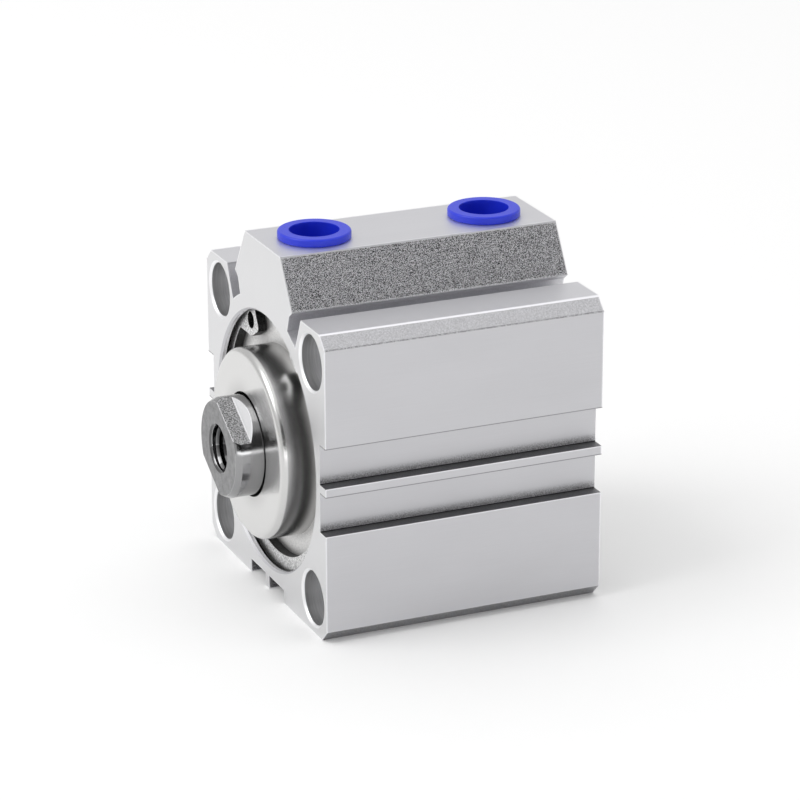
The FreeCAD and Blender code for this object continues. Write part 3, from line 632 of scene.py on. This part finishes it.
def anodised_body():
    """Extruded and anodised sides, blasted block sides, and bright machined ends and bores, with
    painted light and shade on its tops, chamfers, channel, slots, holes, groove and edges.
    """
    finish = Finish("anodised_body_finish", metallic=1.0)
    x = finish.where("X")
    y = finish.size(finish.where("Y"))
    z = finish.where("Z")
    end = finish.spread(finish.size(finish.facing("X")), 0.8, 0.9)
    sideways = finish.size(finish.facing("Y"))
    upward = finish.spread(finish.facing("Z"), 0.6, 0.8)
    above = finish.spread(z, BODY_SIDE, BODY_SIDE + 0.1 * MM)
    blasted = finish.times(above, finish.spread(sideways, 0.5, 0.7))
    chamfer = finish.times(
        finish.between(sideways, *CHAMFER_LEAN, soft=0.03),
        finish.between(finish.size(z), *CHAMFER_HEIGHTS, soft=0.05 * MM),
    )
    in_channel = finish.times(
        finish.between(z, *CHANNEL_HEIGHTS, soft=0.1 * MM),
        finish.near(y, CHANNEL_PLACE, CHANNEL_REACH, soft=0.1 * MM),
    )
    grain = finish.noise(0.22 * MM, detail=1.0)
    blasting = finish.noise(0.16 * MM, detail=1.0)
    lines = finish.noise(0.2 * MM, detail=0.0, stretch=(0.02, 1, 1))
    cloud = finish.noise(9 * MM, stretch=(0.4, 1, 1))

    # Extruded, blasted and milled surfaces
    # Painted light: faces that look up get a lighter shade than the sides.
    satin = finish.mix(upward, SIDE_SHADE, LIT_TOP_SHADE)
    satin = finish.plus(satin, finish.wobble(cloud, 0.04), finish.wobble(lines, 0.02))
    speckle = finish.spread(blasting, *BLASTING, *BLASTED_SHADES, smooth=False)
    level = finish.mix(blasted, satin, speckle)
    # Painted shade and light: chamfers below the middle darker, those above it lighter.
    chamfer_shading = finish.spread(z, 0.0, 1.0 * MM, *CHAMFER_SHADED_AND_LIT)
    level = finish.mix(chamfer, level, finish.plus(chamfer_shading, finish.wobble(grain, 0.5)))
    # Painted light: the channel is made lighter than the sides, against the shade that falls in
    # it.
    level = finish.mix(in_channel, level, finish.plus(CHANNEL_SHADE, finish.wobble(grain, 0.2)))
    # The slots' painted shade.
    in_slot, slot_shadow_level = painted_slot_shadows(finish, y, z, upward, grain, level)
    level = finish.mix(in_slot, level, slot_shadow_level)
    level = finish.mix(end, level, finish.plus(END_SHADE, finish.wobble(cloud, 0.03)))
    in_hole, hole_shade = hole_shades(finish, x, y, z, end)
    level = finish.mix(in_hole, level, hole_shade)
    # Painted shade: the insides of the underside's slots are made dark.
    underside_slot_shadow = finish.spread(grain, *NOISE, *UNDERSIDE_SLOT_SHADOWS)
    level = finish.mix(underside_slots(finish, y, z, end), level, underside_slot_shadow)

    # Edges: painted highlights and painted shadow lines
    lip_shadows = slot_lip_shadows(finish, y, z)
    # Painted highlight along outward edges, kept off the slots and their edges.
    no_edge_highlight = finish.largest(in_slot, lip_shadows)
    edge_highlight = finish.times(finish.edges(0.35 * MM), finish.minus(1.0, no_edge_highlight))
    level = finish.mix(edge_highlight, level, EDGE_HIGHLIGHT_SHADE)
    # A thin painted shadow along the edges above the slots.
    level = finish.mix(lip_shadows, level, LIP_SHADOW)
    bright, dark = painted_edge_lines(finish, y, z, grain)
    # Painted shadow lines, then painted highlight lines, along the body's edges.
    level = finish.mix(finish.times(dark, SHADOW_LINE_STRENGTH), level, SHADOW_LINE_SHADE)
    level = finish.mix(bright, level, HIGHLIGHT_LINE_SHADE)

    # The seats of the covers, turned smooth, and the groove for the front ring painted near black
    # as shade
    in_seat, in_groove = cover_seats(finish, x)
    level = finish.mix(in_seat, level, SEAT_SHADE)
    level = finish.mix(in_groove, level, finish.spread(grain, *NOISE, *GROOVE_SHADOWS))

    tint = finish.blend(finish.largest(end, in_hole), EXTRUDED_TINT, CUT_TINT)
    finish.set("Base Color", finish.shaded(tint, level))
    roughness = finish.mix(blasted, SIDE_ROUGHNESS, BLASTED_ROUGHNESS)
    roughness = finish.mix(end, roughness, END_ROUGHNESS)
    roughness = finish.mix(finish.largest(edge_highlight, bright), roughness, LINE_ROUGHNESS)
    finish.set("Roughness", finish.mix(in_seat, roughness, SEAT_ROUGHNESS))
    relief = finish.mix(blasted, finish.times(lines, 0.1), blasting)
    skin = finish.bump(relief, depth=0.03 * MM, strength=0.6)
    winding = port_threads(finish, x, y, z)
    finish.set("Normal", finish.bump(winding, depth=0.35 * MM, normal=skin))
    return finish.material


# Finishes of the other pieces
def turned_aluminium():
    """Turned faces with fine rings, a polished boss, and a grained step around it, with painted
    shade where other surfaces stand close and painted highlights on edges.
    """
    finish = Finish("turned_aluminium_finish", metallic=1.0)
    x = finish.where("X")
    radius = finish.radius()
    facing = finish.size(finish.facing("X"))
    end = finish.spread(facing, 0.8, 0.9)
    on_face = finish.spread(x, BOSS_FACE - 0.2 * MM, BOSS_FACE - 0.1 * MM)
    boss_face = finish.times(end, on_face)
    boss_round = finish.times(
        finish.between(facing, 0.15, 0.85, soft=0.05),
        finish.between(x, BOSS_FACE - BOSS_ROUND, BOSS_FACE, soft=0.05 * MM),
        finish.spread(radius, BOSS_ROUND_RADIUS, BOSS_ROUND_RADIUS + 0.2 * MM),
    )
    step = finish.times(end, finish.near(x, COVER_FACE, 0.1 * MM, 0.05 * MM))
    step_grain_and_shadow = finish.grained(finish.noise(0.3 * MM, detail=1.0), *STEP_SHADES)
    # Painted shade on the step and on the boss face, where other surfaces stand close.
    step_grain_and_shadow = finish.times(step_grain_and_shadow, finish.crevice_shade(3 * MM, power=0.7))
    boss_face_shadow = finish.times(BOSS_FACE_SHADE, finish.crevice_shade(4 * MM, power=0.5))
    level = finish.mix(end, COVER_SIDE_SHADE, COVER_FACE_SHADE)
    level = finish.mix(step, level, step_grain_and_shadow)
    level = finish.mix(boss_face, level, boss_face_shadow)
    level = finish.mix(boss_round, level, BOSS_ROUND_SHADE)
    # Painted highlight along the edges.
    level = finish.mix(finish.edges(0.25 * MM), level, COVER_EDGE_HIGHLIGHT)
    finish.set("Base Color", finish.shaded((1.0, 0.995, 0.985), level))
    faces = finish.mix(step, COVER_FACE_ROUGHNESS, STEP_ROUGHNESS)
    roughness = finish.mix(end, COVER_SIDE_ROUGHNESS, faces)
    roughness = finish.mix(boss_face, roughness, BOSS_FACE_ROUGHNESS)
    finish.set("Roughness", finish.mix(boss_round, roughness, BOSS_ROUND_ROUGHNESS))
    rings = finish.times(finish.ripples(radius, 0.12 * MM), end)
    finish.set("Normal", finish.bump(rings, depth=0.004 * MM, strength=0.6))
    return finish.material


def rod_steel():
    """Hard polished rod, made dark as a painted reflection of dark surroundings, with matte
    machined flats and end face.
    """
    finish = Finish("rod_steel_finish", metallic=1.0)
    x = finish.where("X")
    radius = finish.radius()
    facing = finish.size(finish.facing("X"))
    end = finish.spread(facing, 0.92, 0.97)

    def across_flats(y, z):
        part = finish.times(y, math.sin(FLAT_TURN))
        return finish.size(finish.plus(part, finish.times(z, math.cos(FLAT_TURN))))

    height = across_flats(finish.where("Y"), finish.where("Z"))
    lean = across_flats(finish.facing("Y"), finish.facing("Z"))
    on_flat = finish.times(
        finish.near(height, FLAT_HEIGHT, 0.05 * MM, soft=0.03 * MM),
        finish.spread(x, FLAT_START, FLAT_START + 0.1 * MM),
        finish.spread(lean, 0.9, 0.95),
    )
    run_out = finish.times(
        finish.between(facing, 0.80, 0.88, soft=0.03),
        finish.spread(radius, *RUN_OUT_RADII),
    )
    in_thread = finish.spread(radius, ROD_THREAD_RADIUS + 0.1 * MM, ROD_THREAD_RADIUS)
    mouth = finish.times(
        finish.between(facing, 0.2, 0.9, soft=0.02),
        finish.between(radius, *MOUTH_RADII, soft=0.05 * MM),
    )
    grain = finish.noise(0.28 * MM, detail=1.0)
    cloud = finish.noise(1.4 * MM)
    mottle = finish.plus(ROD_END_SHADE, finish.wobble(cloud, 0.22), finish.wobble(grain, 0.14))
    # Painted shade, darker deeper in the thread.
    thread_shadow = finish.spread(x, *ROD_THREAD_SHADOW_DEPTHS, *ROD_THREAD_SHADOWS)
    level = finish.mix(end, ROD_SIDE_SHADE, mottle)
    level = finish.mix(on_flat, level, finish.grained(grain, *ROD_FLAT_SHADES))
    # Painted highlight on the run-outs at the flats' ends.
    level = finish.mix(run_out, level, RUN_OUT_HIGHLIGHT)
    level = finish.mix(in_thread, level, thread_shadow)
    # Painted shade on the mouth of the threaded hole.
    level = finish.mix(mouth, level, MOUTH_SHADOW)
    # Painted highlight along the outer edges.
    outside = finish.spread(radius, 6.0 * MM, 6.2 * MM)
    edge_highlight = finish.times(finish.edges(0.2 * MM), outside)
    level = finish.mix(edge_highlight, level, ROD_EDGE_HIGHLIGHT)
    finish.set("Base Color", finish.shaded((0.985, 0.985, 1.0), level))
    roughness = finish.mix(end, ROD_SIDE_ROUGHNESS, ROD_END_ROUGHNESS)
    roughness = finish.mix(on_flat, roughness, ROD_FLAT_ROUGHNESS)
    finish.set("Roughness", finish.mix(run_out, roughness, RUN_OUT_ROUGHNESS))
    rings = finish.times(finish.ripples(radius, 0.15 * MM), end)
    finish.set("Normal", finish.bump(rings, depth=0.004 * MM, strength=0.5))
    return finish.material


def spring_steel():
    """Retaining rings: ground faces, sides painted near black as shade, and painted highlights
    along the edges.
    """
    finish = Finish("spring_steel_finish", metallic=1.0)
    end = finish.spread(finish.size(finish.facing("X")), 0.75, 0.9)
    grain = finish.noise(0.3 * MM, detail=1.0)
    ring_side_shadow = finish.grained(grain, *RING_SIDE_SHADOWS)
    level = finish.mix(end, ring_side_shadow, finish.grained(grain, *RING_FACE_SHADES))
    # Painted highlight along the edges.
    edge_highlight = finish.times(finish.edges(0.15 * MM), 0.5)
    finish.set("Base Color", finish.shaded((1.0, 1.0, 1.0), finish.mix(edge_highlight, level, 0.9)))
    finish.set("Roughness", finish.mix(end, 0.5, 0.42))
    finish.set("Normal", finish.bump(grain, depth=0.02 * MM, strength=0.4))
    return finish.material


def screw_steel():
    """Zinc-plated screws and washers with fine scratches."""
    finish = Finish("screw_steel_finish", metallic=1.0)
    scratches = finish.noise(0.25 * MM, stretch=(0.15, 1, 1))
    cloud = finish.noise(1.5 * MM)
    level = finish.spread(cloud, *NOISE, 0.48, 0.6)
    # Painted highlight along the edges.
    level = finish.mix(finish.edges(0.15 * MM), level, 0.85)
    finish.set("Base Color", finish.shaded((0.97, 0.98, 1.0), level))
    finish.set("Roughness", finish.spread(scratches, *NOISE, 0.22, 0.4))
    finish.set("Normal", finish.bump(scratches, depth=0.01 * MM, strength=0.4))
    return finish.material


def bearing_bronze():
    """Sintered bronze, with open pores that hold oil."""
    finish = Finish("bearing_bronze_finish", metallic=1.0)
    metal = finish.spread(finish.noise(0.15 * MM, detail=1.0), 0.36, 0.46)
    finish.set("Base Color", finish.blend(metal, (0.12, 0.07, 0.04, 1), (0.55, 0.36, 0.2, 1)))
    finish.set("Roughness", finish.mix(metal, 0.7, 0.35))
    finish.set("Normal", finish.bump(metal, depth=0.02 * MM, strength=0.5))
    return finish.material


def magnet_grey():
    """Sintered magnet: dark, dry and finely grained."""
    finish = Finish("magnet_finish")
    grain = finish.noise(0.2 * MM)
    level = finish.spread(grain, *NOISE, 0.04, 0.09)
    finish.set("Base Color", finish.shaded((1.0, 0.98, 0.96), level))
    finish.set("Roughness", finish.spread(grain, *NOISE, 0.5, 0.7))
    finish.set("Normal", finish.bump(grain, depth=0.02 * MM, strength=0.5))
    return finish.material


def guide_plastic():
    """Filled slide plastic, with faint streaks along the bore."""
    finish = Finish("guide_plastic_finish")
    streaks = finish.noise(0.4 * MM, stretch=(0.1, 1, 1))
    finish.set("Base Color", finish.blend(streaks, (0.17, 0.13, 0.08, 1), (0.30, 0.24, 0.15, 1)))
    finish.set("Roughness", finish.spread(streaks, *NOISE, 0.35, 0.55))
    finish.set("Normal", finish.bump(streaks, depth=0.01 * MM, strength=0.3))
    return finish.material


def black_rubber():
    """Moulded rubber, matte, with a trace of grease."""
    finish = Finish("black_rubber_finish")
    grain = finish.noise(0.12 * MM)
    grease = finish.spread(finish.noise(2.5 * MM), 0.45, 0.6)
    level = finish.spread(grain, *NOISE, 0.014, 0.028)
    finish.set("Base Color", finish.shaded((1.0, 1.0, 1.0), level))
    finish.set("Roughness", finish.mix(grease, 0.62, 0.35))
    finish.set("Normal", finish.bump(grain, depth=0.01 * MM, strength=0.4))
    return finish.material


def blue_cap():
    """Moulded blue plastic: an even colour, a faint mould grain, and painted highlights along the
    edges.
    """
    finish = Finish("blue_cap_finish")
    grain = finish.noise(0.18 * MM, detail=1.0)
    cloud = finish.noise(3 * MM)
    colour = finish.blend(cloud, (0.010, 0.026, 0.62, 1), (0.016, 0.040, 0.74, 1))
    # Painted highlight: lighter blue along the edges.
    cap_edge_highlight = finish.times(finish.edges(0.3 * MM), 0.35)
    finish.set("Base Color", finish.blend(cap_edge_highlight, colour, (0.05, 0.09, 0.85, 1)))
    finish.set("Roughness", finish.spread(grain, *NOISE, 0.32, 0.42))
    finish.set("Normal", finish.bump(grain, depth=0.01 * MM, strength=0.35))
    return finish.material


FINISHES = {
    "anodised_body": anodised_body,
    "turned_aluminium": turned_aluminium,
    "rod_steel": rod_steel,
    "spring_steel": spring_steel,
    "screw_steel": screw_steel,
    "bearing_bronze": bearing_bronze,
    "magnet": magnet_grey,
    "guide_plastic": guide_plastic,
    "black_rubber": black_rubber,
    "blue_cap": blue_cap,
}


def dress_nodes():
    """Gives every CAD node the finish of its material slot, and returns the finishes by slot."""
    made = {}
    for node in nodes.values():
        for slot in node.material_slots:
            name = slot.material.name
            if name not in made:
                made[name] = FINISHES[name]()
            slot.material = made[name]
    return made


# Edges
def break_edges(node, width):
    """Joins the faces that the frame holds apart, and rounds the sharp edges between them."""
    weld = node.modifiers.new("weld", "WELD")
    weld.merge_threshold = WELD_DISTANCE
    flat = node.modifiers.new("flat", "DECIMATE")
    flat.decimate_type = "DISSOLVE"
    flat.angle_limit = FLAT_ANGLE
    bevel = node.modifiers.new("edges", "BEVEL")
    bevel.limit_method = "ANGLE"
    bevel.angle_limit = SHARP_ANGLE
    bevel.width = width
    bevel.segments = EDGE_SEGMENTS
    bevel.use_clamp_overlap = True
    weighted = node.modifiers.new("shading", "WEIGHTED_NORMAL")
    weighted.keep_sharp = True


# Threads
def ridge(axis, first, radius, depth, pitch, steps, run):
    """Vertices and faces of one right-hand ridge, numbered from first."""
    y, z = axis
    start, end = run
    count = round(abs(end - start) / pitch * steps)
    vertices = []
    faces = []
    for step in range(count + 1):
        x = start + (end - start) * step / count
        angle = 2 * math.pi * step / steps
        fade = min(1.0, step / steps / RIDGE_FADE, (count - step) / steps / RIDGE_FADE)
        crest = radius - depth * max(fade, RIDGE_LEAST)
        root = radius + THREAD_ROOT
        half = RIDGE_HALF_WIDTH * pitch
        for along, reach in ((-half, root), (0.0, crest), (half, root)):
            vertices.append((x + along, y + reach * math.sin(angle), z + reach * math.cos(angle)))
    for step in range(count):
        here = first + 3 * step
        for corner in range(3):
            following = (corner + 1) % 3
            faces.append(
                (here + corner, here + following, here + 3 + following, here + 3 + corner)
            )
    last = first + 3 * count
    faces.append((first, first + 2, first + 1))
    faces.append((last, last + 1, last + 2))
    return vertices, faces


def add_thread(name, material, body, slot, axes, **sizes):
    """A ridge on each axis, as one piece."""
    vertices = []
    faces = []
    for axis in axes:
        more_vertices, more_faces = ridge(axis, len(vertices), **sizes)
        vertices += more_vertices
        faces += more_faces
    mesh = bpy.data.meshes.new(name)
    mesh.from_pydata(vertices, [], faces)
    shape = bmesh.new()
    shape.from_mesh(mesh)
    bmesh.ops.recalc_face_normals(shape, faces=shape.faces)
    shape.to_mesh(mesh)
    shape.free()
    mesh.shade_smooth()
    mesh.set_sharp_from_angle(angle=RIDGE_SMOOTH)
    mesh.materials.append(material)
    piece = bpy.data.objects.new(name, mesh)
    link(piece)
    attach(piece, body)


def main():
    bpy.context.scene.view_settings.view_transform = "Standard"
    add_camera()
    add_world()
    add_key()
    made = dress_nodes()
    for name, width in EDGE_WIDTHS.items():
        break_edges(nodes[name], width)
    for name, thread in THREADS.items():
        add_thread(name, made[thread["slot"]], **thread)
    add_floor()


main()
